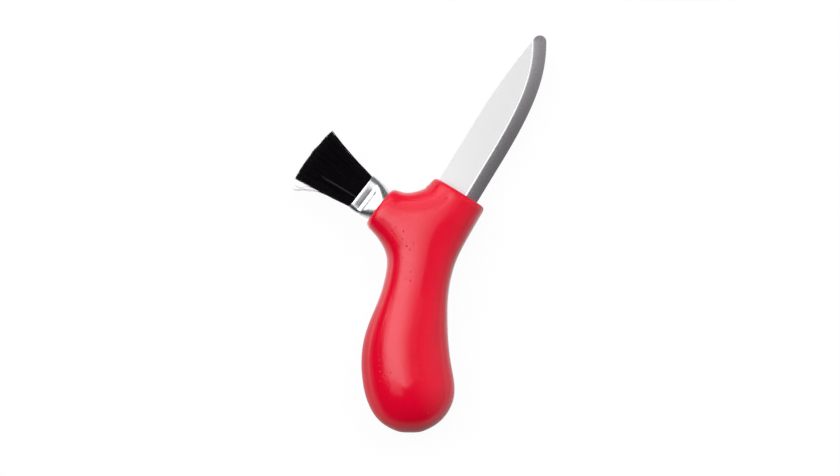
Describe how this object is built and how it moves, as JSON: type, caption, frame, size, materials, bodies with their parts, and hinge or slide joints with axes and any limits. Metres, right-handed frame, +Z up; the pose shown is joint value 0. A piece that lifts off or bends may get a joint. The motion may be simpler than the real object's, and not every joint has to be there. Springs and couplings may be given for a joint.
{
  "type": "mushroom knife",
  "caption": "Mushroom knife with a curved bevelled blade and a small fan-shaped brush fixed in the arms of a Y-shaped lacquered wooden handle.",
  "frame": {"origin": "middle of the bounding box's base, with the knife lying on its side", "axes": "+X towards the cutting edge's side, +Y from the butt of the grip towards the blade's tip, +Z up, square to the blade's flat"},
  "size_m": [0.1008, 0.1588, 0.0252],
  "materials": {
    "red_lacquer": "turned and carved hardwood under thick glossy red lacquer with a slight orange peel",
    "stainless_steel": "satin flat with a finely ground bevel",
    "epoxy": "cured adhesive, hidden",
    "tinned_steel": "bright plated sheet, drawn and crimped",
    "resin": "cast resin, hidden",
    "black_bristle": "black hair, cut level, with a faint sheen"
  },
  "bodies": {
    "root": {"handle": "red_lacquer", "blade": "stainless_steel", "tang_bedding": "epoxy", "brush_ferrule": "tinned_steel", "bristle_setting": "resin", "bristles": "black_bristle"}
  },
  "joints": []
}
